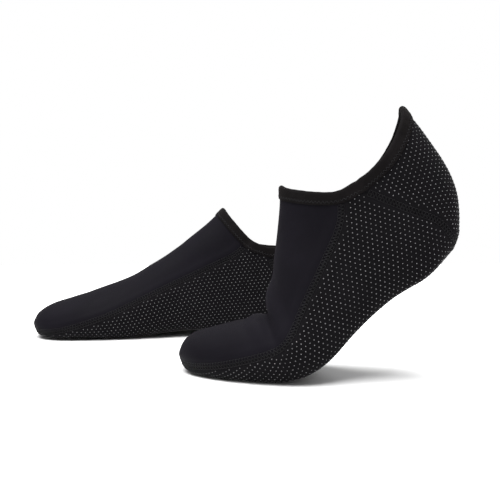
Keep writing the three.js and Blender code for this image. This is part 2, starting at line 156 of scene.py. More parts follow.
class StageSettings(bpy.types.PropertyGroup):
    """Floor, lights and camera."""
    floor_size: length("Floor size", "Side of the floor", 1.9, high=50.0)
    floor_colour: colour("Floor colour", "Pale, plain floor", (0.93, 0.93, 0.93))
    key_power: bpy.props.FloatProperty(name="Key power", description="Of the large soft light", default=110.0,
                                       min=0.0, unit="POWER")
    sky: bpy.props.FloatProperty(name="Sky", description="Light from the pale surroundings", default=0.4,
                                 min=0.0)
    field: bpy.props.FloatProperty(name="Field of view", description="Of the square frame",
                                   default=math.radians(32.8), subtype="ANGLE")
    azimuth: bpy.props.FloatProperty(name="Azimuth", description="Of the camera, from straight in front",
                                     default=math.radians(-9.06), subtype="ANGLE")
    elevation: bpy.props.FloatProperty(name="Elevation", description="Of the camera above its target",
                                       default=math.radians(3.07), subtype="ANGLE")
    roll: bpy.props.FloatProperty(name="Roll", description="Of the camera about its line of sight",
                                  default=math.radians(0.4), subtype="ANGLE")
    distance: length("Distance", "From the camera to its target", 0.684, high=10.0)


SETTINGS = {
    "sock_panels": PanelSettings,
    "sock_tape": TapeSettings,
    "sock_dots": DotSettings,
    "sock_stitches": StitchSettings,
    "sock_stage": StageSettings,
}


# ---------------------------------------------------------------- materials

TURN = 2 * math.pi
JERSEY_WALE, JERSEY_COURSE = 0.85 * MM, 0.62 * MM  # one stitch across and along
NET_MESH = 0.9 * MM  # one hole of the mesh knit
TAPE_RIB, TAPE_ROW = 0.7 * MM, 0.9 * MM


class Wire:
    """A shader socket. Sums, differences and products of wires add the Math nodes they need."""

    def __init__(self, finish, socket):
        self.finish = finish
        self.socket = socket

    def maths(self, operation, *values):
        return self.finish.add("ShaderNodeMath", {"operation": operation}, dict(enumerate(values)))

    def __add__(self, other):
        return self.maths("ADD", self, other)

    def __sub__(self, other):
        return self.maths("SUBTRACT", self, other)

    def __rsub__(self, other):
        return self.maths("SUBTRACT", other, self)

    def __mul__(self, other):
        return self.maths("MULTIPLY", self, other)

    def sine(self):
        return self.maths("SINE", self)

    def size(self):
        return self.maths("ABSOLUTE", self)

    __radd__ = __add__
    __rmul__ = __mul__


class Finish:
    """A material made of nodes, with one Principled shader."""

    def __init__(self, name, **constants):
        self.material = bpy.data.materials.new(name)
        self.material.use_nodes = True
        self.tree = self.material.node_tree
        self.tree.nodes.clear()
        output = self.tree.nodes.new("ShaderNodeOutputMaterial")
        self.shader = self.tree.nodes.new("ShaderNodeBsdfPrincipled")
        self.tree.links.new(self.shader.outputs["BSDF"], output.inputs["Surface"])
        for socket, value in constants.items():
            self.shader.inputs[socket.replace("_", " ")].default_value = value

    def add(self, kind, choices=None, inputs=None, output=0):
        """A new node: its own settings first, then the values or wires of its sockets."""
        node = self.tree.nodes.new(kind)
        for key, value in (choices or {}).items():
            setattr(node, key, value)
        for key, value in (inputs or {}).items():
            self.feed(node.inputs[key], value)
        return Wire(self, node.outputs[output])

    def feed(self, socket, value):
        if isinstance(value, Wire):
            self.tree.links.new(value.socket, socket)
        else:
            socket.default_value = value

    def drive(self, **sockets):
        for socket, value in sockets.items():
            self.feed(self.shader.inputs[socket.replace("_", " ")], value)
        return self.material

    def pattern(self):
        """The cloth's own flat coordinates, in metres along and across."""
        uv = self.add("ShaderNodeUVMap", {"uv_map": "flat"})
        return (self.add("ShaderNodeSeparateXYZ", None, {0: uv}, output=axis) for axis in (0, 1))

    def place(self):
        return self.add("ShaderNodeTexCoord", output="Object")

    def speckle(self, scale, detail=2.0, roughness=0.5, where=None):
        return self.add("ShaderNodeTexNoise", None, {
            "Vector": where or self.place(), "Scale": scale, "Detail": detail, "Roughness": roughness})

    def ramp(self, value, low, high, from_tone=0.0, to_tone=1.0):
        """A smooth step between two values."""
        return self.add("ShaderNodeMapRange", {"interpolation_type": "SMOOTHSTEP"}, {
            "Value": value, "From Min": low, "From Max": high, "To Min": from_tone, "To Max": to_tone})

    def blend(self, share, first, second):
        """A colour between two colours."""
        node = self.tree.nodes.new("ShaderNodeMix")
        node.data_type = "RGBA"
        self.feed(node.inputs[0], share)
        for socket, value in ((node.inputs[6], first), (node.inputs[7], second)):
            self.feed(socket, value if isinstance(value, Wire) else (*value, 1.0))
        return Wire(self, node.outputs[2])

    def bump(self, height, depth, strength=1.0):
        return self.add("ShaderNodeBump", None, {"Height": height, "Distance": depth, "Strength": strength})


def tone(base, factor):
    """A colour made lighter or darker."""
    return tuple(min(1.0, c * factor) for c in base)


def edge_wear_and_sheen(finish):
    """How near a point is to a seam: 1 at the edge, 0 from a few millimetres on. The cloth is lightened there,
    part wear and part painted sheen.
    """
    return finish.add("ShaderNodeAttribute", {"attribute_name": "edge"}, output="Fac")


def jersey_finish(base):
    """Fine, smooth jersey: V-shaped stitches in wales, their grooves painted darker and their crests lighter as
    shade and light, with a faint sheen and soft rubbed patches.
    """
    f = Finish("Jersey", Specular_IOR_Level=0.03, Sheen_Weight=0.01, Sheen_Roughness=0.45,
               Sheen_Tint=(0.75, 0.68, 0.85, 1.0))
    along, across = f.pattern()
    wale = (across * (TURN / JERSEY_WALE)).sine()
    course = (along * (TURN / JERSEY_COURSE) + wale * 1.3).sine()
    knit = wale * 0.3 + course * 0.2 + 0.5
    fuzz = f.speckle(2400.0, 3.0, 0.6)
    cloud = f.speckle(22.0, 3.0, 0.55)
    # lighter patches: random rubbed wear, and along the seams a strip that is part wear and part painted sheen
    wear_and_edge_sheen = f.ramp(cloud, 0.42, 0.66) * 0.55 + edge_wear_and_sheen(f) * 0.5
    # painted shade and light: the stitches' grooves darker and their crests lighter, following the bump; the
    # fibre speckle is the yarn's own tone
    shade = f.blend(knit * 0.6 + fuzz * 0.4, tone(base, 0.62), tone(base, 1.5))
    lightened = f.blend(wear_and_edge_sheen * 0.6, shade, tone(base, 1.9))
    relief = f.bump(knit + fuzz * 0.5, 0.12 * MM, 0.55)
    return f.drive(Base_Color=lightened, Normal=relief,
                   Roughness=f.ramp(cloud, 0.3, 0.7, 0.66, 0.8) - fuzz * 0.08)


def knit_finish(base):
    """Denser mesh knit under the grip dots: a diamond net with small holes, painted darker in the holes as
    shade and lighter on the threads.
    """
    f = Finish("Grip knit", Specular_IOR_Level=0.03, Sheen_Weight=0.008, Sheen_Roughness=0.5)
    along, across = f.pattern()
    one = ((along + across) * (math.pi / NET_MESH)).sine().size()
    two = ((along - across) * (math.pi / NET_MESH)).sine().size()
    net = f.ramp(one * two, 0.1, 0.75)
    fuzz = f.speckle(2100.0, 3.0, 0.65)
    cloud = f.speckle(26.0, 3.0, 0.5)
    # lighter patches: random rubbed wear, and along the seams a strip that is part wear and part painted sheen
    wear_and_edge_sheen = f.ramp(cloud, 0.45, 0.7) * 0.5 + edge_wear_and_sheen(f) * 0.5
    # painted shade and light: the holes darker and the net's threads lighter, following the bump; the fibre
    # speckle is the yarn's own tone
    shade = f.blend(net * 0.7 + fuzz * 0.3, tone(base, 1.55), tone(base, 0.45))
    lightened = f.blend(wear_and_edge_sheen * 0.5, shade, tone(base, 2.0))
    relief = f.bump((1 - net) + fuzz * 0.35, 0.18 * MM, 0.7)
    return f.drive(Base_Color=lightened, Normal=relief,
                   Roughness=f.ramp(cloud, 0.3, 0.7, 0.62, 0.78) + net * 0.1)


def dot_finish(base):
    """Pale rubber print: soft gloss, each dot a little lighter or darker, dusty on some."""
    f = Finish("Grip dots", Specular_IOR_Level=0.5, Coat_Roughness=0.25)
    each = f.speckle(160.0, 1.0, 0.4)
    dust = f.speckle(1500.0, 2.0, 0.6)
    shade = f.blend(f.ramp(each, 0.32, 0.68), tone(base, 0.5), tone(base, 1.3))
    dusty = f.blend(dust * 0.35, shade, tone(base, 0.45))
    relief = f.bump(dust, 0.05 * MM, 0.5)
    return f.drive(Base_Color=dusty, Roughness=f.ramp(dust, 0.3, 0.7, 0.28, 0.5), Coat_Weight=each * 0.3,
                   Normal=relief)


def tape_finish(base):
    """Ribbed stretch tape: fine ribs across its width and a slightly dusty, brownish edge."""
    f = Finish("Binding tape", Specular_IOR_Level=0.03, Sheen_Weight=0.012, Sheen_Roughness=0.5,
               Sheen_Tint=(0.9, 0.8, 0.75, 1.0))
    along, across = f.pattern()
    rib = (along * (TURN / TAPE_RIB)).sine() * 0.5 + 0.5
    row = (across * (TURN / TAPE_ROW) + rib * 2.2).sine() * 0.5 + 0.5
    fuzz = f.speckle(1900.0, 3.0, 0.65)
    cloud = f.speckle(60.0, 2.0, 0.5)
    # painted shade and light: the ribs' crests lighter and their grooves darker, following the bump; the fibre
    # speckle is the yarn's own tone
    shade = f.blend(rib * 0.45 + row * 0.25 + fuzz * 0.3, tone(base, 0.55), tone(base, 1.7))
    lightened = f.blend(f.ramp(cloud, 0.45, 0.7) * 0.5, shade, tone(base, 2.1))
    relief = f.bump(rib * 0.6 + row * 0.4 + fuzz * 0.4, 0.16 * MM, 0.75)
    return f.drive(Base_Color=lightened, Roughness=f.ramp(fuzz, 0.2, 0.8, 0.72, 0.9), Normal=relief)


def thread_finish(base):
    """Spun polyester: a tight twist, a little shinier than the cloth."""
    f = Finish("Thread", Specular_IOR_Level=0.15, Sheen_Weight=0.01, Sheen_Roughness=0.4)
    fibre = f.speckle(3600.0, 2.0, 0.6)
    cloud = f.speckle(140.0, 2.0, 0.5)
    shade = f.blend(fibre, tone(base, 0.6), tone(base, 1.8))
    dull = f.blend(f.ramp(cloud, 0.4, 0.7) * 0.5, shade, tone(base, 2.2))
    return f.drive(Base_Color=dull, Roughness=f.ramp(fibre, 0.3, 0.7, 0.42, 0.62),
                   Normal=f.bump(fibre, 0.08 * MM, 0.7))


def floor_finish(base):
    """Plain pale paper."""
    f = Finish("Floor", Specular_IOR_Level=0.2)
    grain = f.speckle(40.0, 3.0, 0.6)
    return f.drive(Base_Color=f.blend(grain * 0.3, base, tone(base, 0.97)),
                   Roughness=f.ramp(grain, 0.3, 0.7, 0.75, 0.85))


# ---------------------------------------------------------------- helpers

def settings(name):
    return getattr(bpy.context.scene, name)


def finished(name, make, base):
    """The material of that name, made once."""
    return bpy.data.materials.get(name) or make(tuple(base))


def deselect():
    for o in bpy.context.selected_objects:
        o.select_set(False)


def activate(piece):
    deselect()
    piece.select_set(True)
    bpy.context.view_layer.objects.active = piece


def use_modifier(piece, kind, **values):
    """Adds a modifier with these values and applies it."""
    modifier = piece.modifiers.new(kind.title(), kind)
    for key, value in values.items():
        setattr(modifier, key, value)
    activate(piece)
    bpy.ops.object.modifier_apply(modifier=modifier.name)


def new_piece(name, mesh):
    piece = bpy.data.objects.new(name, mesh)
    bpy.context.scene.collection.objects.link(piece)
    return piece


def settle(piece, side, material, nodes=()):
    """Gives a finished piece its material and its body, and hides the CAD nodes it stands for."""
    piece.data.materials.clear()
    piece.data.materials.append(material)
    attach(piece, f"{side}_sock")
    if nodes:
        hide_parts(*nodes)
    return piece


def smooth_noise(point, wave, seed):
    """A slow wave between about -1 and 1 at a point in space, wave metres long."""
    return noise.noise(point / wave + Vector((seed, 2.7 * seed, -1.3 * seed)))


def tree_of(points):
    tree = KDTree(len(points))
    for i, p in enumerate(points):
        tree.insert(p, i)
    tree.balance()
    return tree


def step_up(value, low, high):
    share = min(1.0, max(0.0, (value - low) / (high - low)))
    return share * share * (3 - 2 * share)


def bell(distance, width):
    return math.exp(-(distance / width) ** 2)


# ---------------------------------------------------------------- panels

WALL_ANGLE = math.radians(70)  # a panel's walls turn away from its faces by more than this
SHADING_ANGLE = math.radians(50)
UNWRAP_ROUNDS = 60
LEG_SHARE = 0.6  # how much the way up the leg counts beside the way along the foot in a cut's length
SEWN = 1.2 * MM  # edges nearer to each other than this are sewn together
SEWN_SHAPED = 1.6 * MM  # the same after the edges are shaped
PUFF_AWAY, PUFF_WIDTH = 5.5 * MM, 2.4 * MM  # the swell beside a seam
WEAR_AND_SHEEN_REACH = 4 * MM  # of the lighter strip beside a seam: part wear, part painted sheen

# The toe crease: its middle as shares of the vamp's length and height, and the direction across it.
CREASE_ALONG, CREASE_UP = 0.52, 0.33
CREASE_LEAN = Vector((0.87, -0.2, 0.5)).normalized()
CREASE_LOW, CREASE_HIGH = 16 * MM, 38 * MM  # it fades in between these heights
# Its folds and swells: place across it, width, and height as a share of the crease's depth.
CREASE_FOLDS = (
    (0.0, 3.6 * MM, -1.0), (-8 * MM, 5 * MM, 0.55), (8 * MM, 5 * MM, 0.6),
    (-15 * MM, 3.5 * MM, -0.35), (16 * MM, 4 * MM, -0.4))

WAVE_STRETCH = (1.5, 0.7, 1.2)  # makes the waves longer across the foot
LONG_WAVE, SHORT_WAVE = 42 * MM, 16 * MM
WAVE_LOW, WAVE_HIGH = 4 * MM, 25 * MM  # they grow between these heights
WAVE_AT_FLOOR = 0.25  # their share near the floor


def outer_face(node):
    """The outside face of a packed panel as a mesh of quads, without its inner face and walls."""
    bm = bmesh.new()
    bm.from_mesh(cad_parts[node].data)
    for layer in list(bm.loops.layers.uv):
        bm.loops.layers.uv.remove(layer)
    bmesh.ops.remove_doubles(bm, verts=bm.verts, dist=0.01 * MM)
    unseen = set(bm.faces)
    islands = []
    while unseen:
        island, edge_of = [], [unseen.pop()]
        while edge_of:
            face = edge_of.pop()
            island.append(face)
            for edge in face.edges:
                if not edge.is_manifold or edge.calc_face_angle(math.pi) > WALL_ANGLE:
                    continue
                for other in edge.link_faces:
                    if other in unseen:
                        unseen.remove(other)
                        edge_of.append(other)
        islands.append(island)
    outer = set(max(islands, key=lambda island: sum(f.calc_area() for f in island)))
    bmesh.ops.delete(bm, geom=[f for f in bm.faces if f not in outer], context="FACES")
    bmesh.ops.join_triangles(bm, faces=bm.faces, angle_face_threshold=math.pi, angle_shape_threshold=math.pi)
    mesh = bpy.data.meshes.new(node)
    bm.to_mesh(mesh)
    bm.free()
    return mesh


def flatten(piece):
    """Lays the panel out flat: a UV map called flat, unwrapped with the least stretch."""
    piece.data.uv_layers.new(name="flat")
    activate(piece)
    bpy.ops.object.mode_set(mode="EDIT")
    bpy.ops.mesh.select_all(action="SELECT")
    bpy.ops.uv.unwrap(method="MINIMUM_STRETCH", fill_holes=False, iterations=UNWRAP_ROUNDS, margin=0.0)
    bpy.ops.object.mode_set(mode="OBJECT")


class Skin:
    """The outside face of one panel, its edge and its flat pattern, while the sheet is being shaped."""

    def __init__(self, piece):
        self.piece = piece
        mesh = piece.data
        self.points = [v.co.copy() for v in mesh.vertices]
        self.normals = [v.normal.copy() for v in mesh.vertices]
        bm = bmesh.new()
        bm.from_mesh(mesh)
        self.rim = [v.index for v in bm.verts if v.is_boundary]
        self.beside = {v.index: [e.other_vert(v).index for e in v.link_edges if e.is_boundary]
                       for v in bm.verts if v.is_boundary}
        bm.free()
        self.rim_tree = tree_of([self.points[i] for i in self.rim])

    def near_rim(self, point):
        return self.rim_tree.find(point)[2]

    def write(self, points):
        """Moves the panel's points, and takes their new normals."""
        self.piece.data.vertices.foreach_set("co", [c for p in points for c in p])
        self.piece.data.update()
        self.points = points
        self.normals = [v.normal.copy() for v in self.piece.data.vertices]
        self.piece.data.calc_loop_triangles()
        self.triangles = [tuple(t.vertices) for t in self.piece.data.loop_triangles]
        self.loops = [tuple(t.loops) for t in self.piece.data.loop_triangles]
        self.tree = BVHTree.FromPolygons(self.points, self.triangles)

    def scale_pattern(self):
        """Turns the flat pattern lengthwise and scales it to metres. Returns its width, length and area."""
        uv = np.zeros(len(self.piece.data.loops) * 2)
        layer = self.piece.data.uv_layers["flat"].uv
        layer.foreach_get("vector", uv)
        uv = uv.reshape(-1, 2)
        corners = np.array([self.points[loop.vertex_index] for loop in self.piece.data.loops])
        tri = np.array(self.loops)
        a, b, c = (uv[tri[:, k]] for k in range(3))
        flat_area = np.abs((b - a)[:, 0] * (c - a)[:, 1] - (b - a)[:, 1] * (c - a)[:, 0]).sum() / 2
        a, b, c = (corners[tri[:, k]] for k in range(3))
        area = np.linalg.norm(np.cross(b - a, c - a), axis=1).sum() / 2
        uv = (uv - uv.mean(axis=0)) * math.sqrt(area / flat_area)
        run = corners[:, 0] + LEG_SHARE * corners[:, 2]
        slope, *_ = np.linalg.lstsq(uv, run - run.mean(), rcond=None)
        angle = math.atan2(slope[1], slope[0])
        turn = np.array([[math.cos(angle), math.sin(angle)], [-math.sin(angle), math.cos(angle)]])
        uv = uv @ turn.T
        layer.foreach_set("vector", uv.ravel())
        self.uv = uv
        self.flat_corners = [Vector((*p, 0.0)) for p in uv]
        self.flat_tree = BVHTree.FromPolygons(self.flat_corners, self.loops)
        size = uv.max(axis=0) - uv.min(axis=0)
        return float(size[1]), float(size[0]), float(area)

    def lift(self, place):
        """The point and normal of the shaped panel above a point of the flat pattern, or None off the cloth."""
        hit, _, index, _ = self.flat_tree.ray_cast(Vector((*place, 1.0)), Vector((0, 0, -1)))
        if hit is None:
            return None
        flat = [self.flat_corners[i] for i in self.loops[index]]
        point = barycentric_transform(hit, *flat, *(self.points[i] for i in self.triangles[index]))
        normal = barycentric_transform(hit, *flat, *(self.normals[i] for i in self.triangles[index]))
        return point, normal.normalized()


def toe_crease(side, p, depth):
    """The bent sock's folds above its toes: a deep one, a swell on each side, and a shallow one beyond each."""
    if side != "left":
        return 0.0
    low, high = BENT_VAMP
    fold = Vector((low.x + CREASE_ALONG * (high.x - low.x), 0.0, low.z + CREASE_UP * (high.z - low.z)))
    middle = (low.y + high.y) / 2
    across = CREASE_LEAN.dot(Vector((p.x, p.y - middle, p.z)) - fold)
    wavy = across + 1.5 * MM * smooth_noise(p, 30 * MM, seed=4.0)
    folds = sum(share * bell(wavy - place, width) for place, width, share in CREASE_FOLDS)
    return depth * folds * step_up(p.z, CREASE_LOW, CREASE_HIGH)


def soft_waves(side, p, height):
    """Slow waves of the soft sheet, longer across the foot than along it."""
    seed = 1.7 if side == "left" else 5.3
    stretched = Vector([c * stretch for c, stretch in zip(p, WAVE_STRETCH)])
    fade = WAVE_AT_FLOOR + (1 - WAVE_AT_FLOOR) * step_up(p.z, WAVE_LOW, WAVE_HIGH)
    slow = smooth_noise(stretched, LONG_WAVE, seed)
    quick = smooth_noise(stretched, SHORT_WAVE, seed + 2.0)
    return height * fade * (slow + 0.3 * quick)


def shape_panel(side, panel):
    """Waves, creases, the groove along each seam and the swell beside it. Sewn edges meet halfway."""
    wanted = settings("sock_panels")
    skin = skins[side, panel]
    others = [skins[side, other] for other in PANELS if other != panel]
    butted = {}
    for i in skin.rim:
        across, _, away = min((o.rim_tree.find(skin.points[i]) for o in others), key=lambda found: found[2])
        if away < SEWN:
            butted[i] = (across - skin.points[i]) / 2
    seam_tree = tree_of([skin.points[i] for i in butted])
    points, edges = [], []
    for i, (p, n) in enumerate(zip(skin.points, skin.normals)):
        away = seam_tree.find(p)[2]
        rise = soft_waves(side, p, wanted.softness) + toe_crease(side, p, wanted.crease)
        rise -= wanted.groove * bell(away, wanted.groove_reach)
        rise += wanted.puff * bell(away - PUFF_AWAY, PUFF_WIDTH)
        moved = p + n * rise + butted.get(i, Vector())
        moved.z = max(moved.z, 0.0)
        points.append(moved)
        # how strongly the cloth is lightened beside a seam: part wear, part painted sheen
        edges.append(bell(away, WEAR_AND_SHEEN_REACH))
    skin.write(points)
    attribute = skin.piece.data.attributes.new("edge", "FLOAT", "POINT")
    attribute.data.foreach_set("value", edges)


class SOCKS_OT_panels(bpy.types.Operator):
    """Makes the vamp, sole wrap and heel cup of both socks as foam sheets"""
    bl_idname = "socks.panels"
    bl_label = "Panels"

    def execute(self, context):
        wanted = settings("sock_panels")
        jersey = finished("Jersey", jersey_finish, wanted.jersey_colour)
        knit = finished("Grip knit", knit_finish, wanted.knit_colour)
        for side in SIDES:
            for panel, (node, _) in PANELS.items():
                piece = new_piece(f"{side}_{panel}", outer_face(f"{side}_{node}"))
                flatten(piece)
                use_modifier(piece, "SUBSURF", levels=wanted.detail, render_levels=wanted.detail,
                             boundary_smooth="PRESERVE_CORNERS")
                skins[side, panel] = Skin(piece)
            for panel in PANELS:
                shape_panel(side, panel)
            for panel, (node, slot) in PANELS.items():
                skin = skins[side, panel]
                width, run, area = skin.scale_pattern()
                use_modifier(skin.piece, "SOLIDIFY", thickness=wanted.thickness, offset=-1.0, use_rim=True)
                bpy.ops.object.shade_smooth_by_angle(angle=SHADING_ANGLE)
                settle(skin.piece, side, jersey if slot == "jersey" else knit, [f"{side}_{node}"])
        return {"FINISHED"}


# ---------------------------------------------------------------- collar

OFF_SEAM = 2.5 * MM  # an edge further than this from the next panel belongs to the collar
SOFTENING_ROUNDS = 3
EDGE_STRIP = 0.6 * MM  # down to this depth the tape goes straight on from the edge
TURNING_STRIP = 4 * MM  # down to this depth it turns to follow the sheet
SHEET_SHARE = 0.6  # of the sheet's own direction below that
LAP_SLOPE = 1.2 * MM  # half the run over which the tape rises to its lapped ends
OUTER_LAYER = 0.4  # of the tape's thickness: what lies higher belongs to its outer side


class Collar:
    """The line round a sock's mouth, evenly spaced, with a way to reach any depth below it."""

    def __init__(self, side, spacing):
        panels = [skins[side, panel] for panel in PANELS]
        edge = []
        for skin in panels:
            others = [o for o in panels if o is not skin]
            for i in skin.rim:
                p = skin.points[i]
                if min(o.rim_tree.find(p)[2] for o in others) > OFF_SEAM:
                    edge.append(p)
        middle = sum(edge, Vector()) / len(edge)
        spread = np.array([p - middle for p in edge])
        flat = np.linalg.svd(spread, full_matrices=False)[2]
        if flat[2][2] < 0:
            flat[2] *= -1
        flat[1] = np.cross(flat[2], flat[0])
        angles = np.arctan2(spread @ flat[1], spread @ flat[0])
        order = np.argsort(angles)
        self.points = self.even([edge[i] for i in order], spacing)
        self.panels = panels
        low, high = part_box(f"{side}_sole_panel")
        sole = (low + high) / 2
        count = len(self.points)
        self.normals, self.downs = [], []
        for i, p in enumerate(self.points):
            ahead = self.points[(i + 1) % count] - self.points[i - 1]
            n = self.nearest(p)[1]
            t = ahead.normalized()
            n = (n - t * n.dot(t)).normalized()
            down = t.cross(n)
            self.normals.append(n)
            self.downs.append(down if down.dot(sole - p) > 0 else -down)
        for _ in range(SOFTENING_ROUNDS):
            self.normals = self.soften(self.normals)
            self.downs = self.soften(self.downs)

    @staticmethod
    def soften(vectors):
        count = len(vectors)
        return [(vectors[i - 1] + 2 * vectors[i] + vectors[(i + 1) % count]).normalized() for i in range(count)]

    @staticmethod
    def even(loop, spacing):
        """The closed loop's points, spaced evenly."""
        steps = [(loop[(i + 1) % len(loop)] - p).length for i, p in enumerate(loop)]
        total = sum(steps)
        count = round(total / spacing)
        found, travelled, i = [], 0.0, 0
        for k in range(count):
            wanted = total * k / count
            while travelled + steps[i] < wanted:
                travelled += steps[i]
                i += 1
            share = (wanted - travelled) / max(steps[i], TINY)
            found.append(loop[i].lerp(loop[(i + 1) % len(loop)], share))
        return found

    def nearest(self, p):
        """The nearest point of the sock's outside to a point, with its smooth normal."""
        best = None
        for skin in self.panels:
            hit, _, index, away = skin.tree.find_nearest(p)
            if best is None or away < best[3]:
                best = (hit, skin, index, away)
        hit, skin, index, _ = best
        corners = skin.triangles[index]
        normal = barycentric_transform(hit, *(skin.points[i] for i in corners),
                                       *(skin.normals[i] for i in corners))
        return hit, normal.normalized()

    def reach(self, station, depth):
        """The point of the sheet's outside a depth below the collar at a station, and its normal."""
        i = int(math.floor(station))
        share = station - i
        count = len(self.points)
        i, j = i % count, (i + 1) % count
        edge = self.points[i].lerp(self.points[j], share)
        down = self.downs[i].lerp(self.downs[j], share)
        n = self.normals[i].lerp(self.normals[j], share).normalized()
        if depth <= EDGE_STRIP:
            return edge + down * depth, n
        hit, normal = self.nearest(edge + down * depth)
        turned = SHEET_SHARE * min(1.0, depth / TURNING_STRIP)
        return hit, n.lerp(normal, turned).normalized()


def tape_outline(sheet, tape, gap, width):
    """Cross-section of the folded tape: (depth, height, side) round it, closed. side is 1 outside, -1 inside,
    and 0 over the fold, where depth and height give an angle and a radius instead."""
    low, high = gap, gap + tape
    soft = 0.28 * tape
    leg = [(width, low + soft), (width, high - soft), (width - soft, high), (0.75 * width, high),
           (0.5 * width, high), (0.25 * width, high), (EDGE_STRIP, high)]
    back = [(EDGE_STRIP, low), (0.3 * width, low), (0.65 * width, low), (width - soft, low)]
    turns = [math.radians(a) for a in (60, 30, 0, -30, -60)]
    outline = [(d, h, 1) for d, h in leg]
    outline += [(a, sheet / 2 + high, 0) for a in turns]
    outline += [(d, h, -1) for d, h in reversed(leg)]
    outline += [(d, h, -1) for d, h in reversed(back)]
    outline += [(a, sheet / 2 + low, 0) for a in reversed(turns)]
    outline += [(d, h, 1) for d, h in back]
    return outline


class SOCKS_OT_collar_tape(bpy.types.Operator):
    """Folds a stretch tape over each collar"""
    bl_idname = "socks.collar_tape"
    bl_label = "Collar tape"

    def execute(self, context):
        wanted = settings("sock_tape")
        sheet = settings("sock_panels").thickness
        material = finished("Binding tape", tape_finish, wanted.colour)
        for side in SIDES:
            collar = collars[side] = Collar(side, wanted.station)
            piece = self.fold(side, collar, wanted, sheet)
            settle(piece, side, material, [f"{side}_collar_binding"])
            run = sum((p - collar.points[i - 1]).length for i, p in enumerate(collar.points))
        return {"FINISHED"}

    @staticmethod
    def fold(side, collar, wanted, sheet):
        outline = tape_outline(sheet, wanted.thickness, wanted.gap, wanted.width)
        count = len(collar.points)
        back = max(range(count), key=lambda i: collar.points[i].x + collar.points[i].z)
        points, rows = [], []
        for i in range(count):
            off = min(abs(i - back), count - abs(i - back)) * wanted.station
            lap = wanted.lap_rise * (1 - step_up(off, wanted.lap - LAP_SLOPE, wanted.lap + LAP_SLOPE))
            pucker = 0.12 * MM * math.sin(i * 2.4)
            pucker += 0.25 * MM * smooth_noise(collar.points[i], 9 * MM, seed=3.0)
            edge, n = collar.reach(i, 0.0)
            centre = edge - n * (sheet / 2)
            down = collar.downs[i]
            row = []
            for depth, height, face in outline:
                underside = wanted.gap + (0.0 if face else sheet / 2)
                if height > underside + OUTER_LAYER * wanted.thickness:
                    height += lap + pucker
                if face:
                    at, normal = collar.reach(i, depth)
                    p = at + normal * height if face > 0 else at - normal * (sheet + height)
                else:
                    p = centre + n * (height * math.sin(depth)) - down * (height * math.cos(depth))
                row.append(len(points))
                points.append(p)
            rows.append(row)
        around = len(outline)
        travel = [0.0]
        for i in range(count):
            travel.append(travel[-1] + (collar.points[(i + 1) % count] - collar.points[i]).length)
        first = [points[k] for k in rows[0]]
        across = [0.0]
        for k in range(around):
            across.append(across[-1] + (first[(k + 1) % around] - first[k]).length)
        faces, uvs = [], []
        for i in range(count):
            for k in range(around):
                m = (k + 1) % around
                j = (i + 1) % count
                faces.append((rows[i][k], rows[i][m], rows[j][m], rows[j][k]))
                uvs += [(travel[i], across[k]), (travel[i], across[k + 1]),
                        (travel[i + 1], across[k + 1]), (travel[i + 1], across[k])]
        mesh = bpy.data.meshes.new(f"{side}_collar_tape")
        mesh.from_pydata(points, [], faces)
        layer = mesh.uv_layers.new(name="flat")
        layer.uv.foreach_set("vector", [c for uv in uvs for c in uv])
        piece = new_piece(f"{side}_collar_tape", mesh)
        activate(piece)
        bpy.ops.object.mode_set(mode="EDIT")
        bpy.ops.mesh.select_all(action="SELECT")
        bpy.ops.mesh.normals_make_consistent(inside=False)
        bpy.ops.object.mode_set(mode="OBJECT")
        use_modifier(piece, "SUBSURF", levels=1, render_levels=1)
        activate(piece)
        bpy.ops.object.shade_smooth()
        return piece


# ---------------------------------------------------------------- dots and stitches

DOT_FLOOR = -0.2  # a dot is cut off here, as a share of its height
DOT_VARIETY = 0.12  # share by which dots differ in size
THREAD_END, THREAD_DIP = 0.9, 0.8  # where a stitch's end starts, and how deep it dips
SEAM_CLEAR = 0.8 * MM  # from the tape to the first stitch of a seam
PATH_ROUNDS = 4  # of smoothing a seam's line
STITCH_OVERLAP = 1.06  # a stitch is this much longer than its step
# As shares of the thread's diameter: how high the threads stand on the cloth.
THREAD_LIFT, SIDE_ROW_LIFT, MIDDLE_ROW_LIFT, ZIGZAG_LIFT = 0.3, 0.35, 0.1, 0.15
NEEDLE_GAP = 0.08  # share of a step left open at each end of a needle stitch
LACING_THREAD = 0.9  # thickness of the returning lace


def dome():
    """One rubber dot, modelled once: the upper half of a flattened ball, closed below."""
    deselect()
    bpy.ops.mesh.primitive_uv_sphere_add(segments=8, ring_count=4, radius=1.0)
    piece = bpy.context.object
    bpy.ops.object.mode_set(mode="EDIT")
    bpy.ops.mesh.select_all(action="SELECT")
    bpy.ops.mesh.bisect(plane_co=(0, 0, DOT_FLOOR), plane_no=(0, 0, 1), use_fill=True, clear_inner=True)
    bpy.ops.object.mode_set(mode="OBJECT")
    return take_shape(piece)


def thread_loop():
    """One stitch, modelled once: a short thread, thick in the middle, both ends dipping into the cloth."""
    deselect()
    bpy.ops.mesh.primitive_uv_sphere_add(segments=6, ring_count=4, radius=1.0, rotation=(0, math.pi / 2, 0))
    piece = bpy.context.object
    bpy.ops.object.transform_apply(location=True, rotation=True, scale=True)
    bpy.ops.object.mode_set(mode="EDIT")
    mesh = bmesh.from_edit_mesh(piece.data)
    for v in mesh.verts:
        v.select = abs(v.co.x) > THREAD_END
    bmesh.update_edit_mesh(piece.data)
    bpy.ops.transform.translate(value=(0, 0, -THREAD_DIP))
    bpy.ops.object.mode_set(mode="OBJECT")
    return take_shape(piece)


def take_shape(piece):
    """Keeps a small shape's points and faces, and removes its object."""
    points = np.array([v.co[:] for v in piece.data.vertices])
    faces = [tuple(f.vertices) for f in piece.data.polygons]
    mesh = piece.data
    bpy.data.objects.remove(piece)
    bpy.data.meshes.remove(mesh)
    return points, faces


